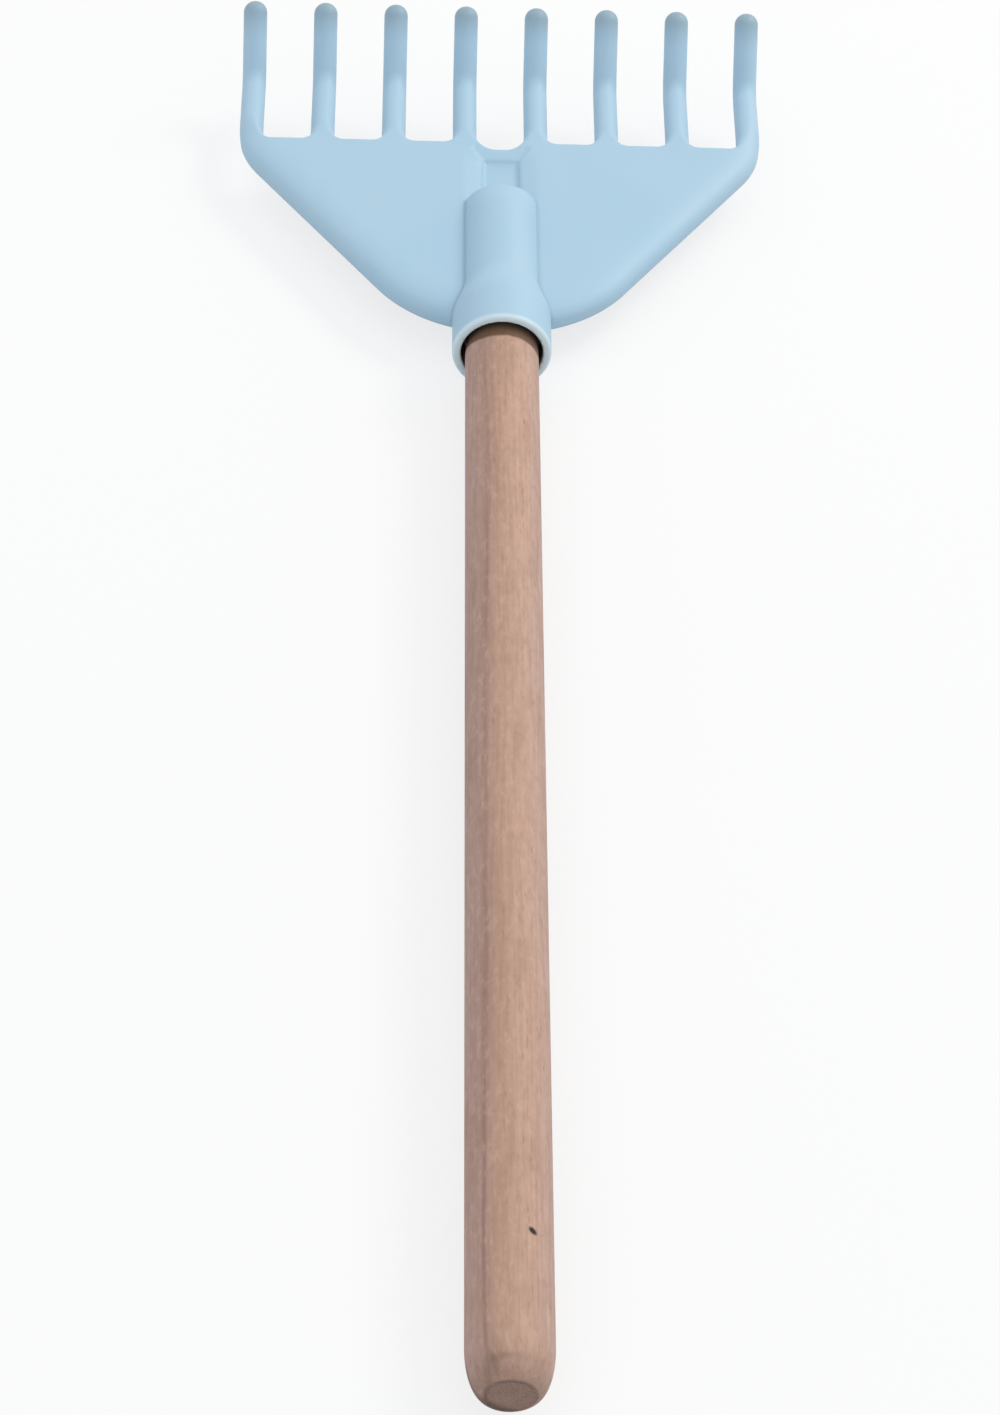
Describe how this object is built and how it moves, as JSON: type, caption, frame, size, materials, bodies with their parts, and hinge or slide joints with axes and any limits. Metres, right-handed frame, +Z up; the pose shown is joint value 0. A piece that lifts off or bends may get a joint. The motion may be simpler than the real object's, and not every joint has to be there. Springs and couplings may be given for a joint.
{
  "type": "sand rake",
  "caption": "Child's sand rake with a one-piece moulded plastic head, rounded bent tines and a flared socket on a long round wooden handle.",
  "frame": {"origin": "on the floor under the middle of the whole rake, which lies on its back", "axes": "+X across the head, +Y along the handle towards the tines, +Z up, the way the tines bend"},
  "size_m": [0.1648, 0.5156, 0.0356],
  "materials": {
    "head_plastic": "satin moulded plastic, light blue",
    "handle_wood": "bare sanded beech",
    "screw_steel": "zinc-plated steel"
  },
  "bodies": {
    "root": {"rake_head": "head_plastic", "handle": "handle_wood", "fixing_screw": "screw_steel"}
  },
  "joints": []
}
